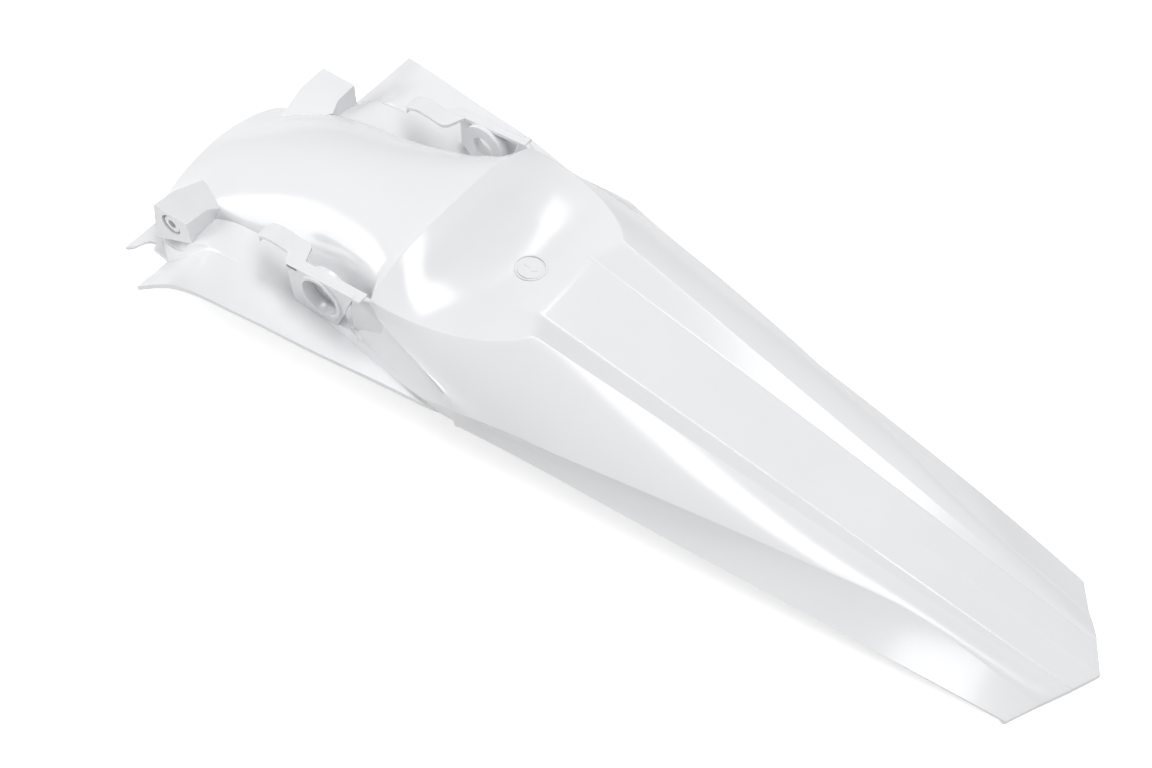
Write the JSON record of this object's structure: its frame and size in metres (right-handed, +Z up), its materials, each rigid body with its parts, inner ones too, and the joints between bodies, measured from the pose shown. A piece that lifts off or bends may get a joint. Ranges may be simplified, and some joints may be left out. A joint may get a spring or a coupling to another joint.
{
  "type": "motorcycle rear fender",
  "caption": "One-piece plastic rear fender for an off-road motorcycle: wheel arch with side flaps, screw bosses and cups in front, ridged tail behind.",
  "frame": {"origin": "centre of the footprint on the ground, half way along the part and on its centre plane", "axes": "+X rearward along the tail, +Y to the rider's right, +Z up"},
  "size_m": [0.685, 0.2778, 0.101],
  "materials": {
    "shell": "glossy white, unpainted"
  },
  "bodies": {
    "root": {"rear_fender": "shell"}
  },
  "joints": []
}
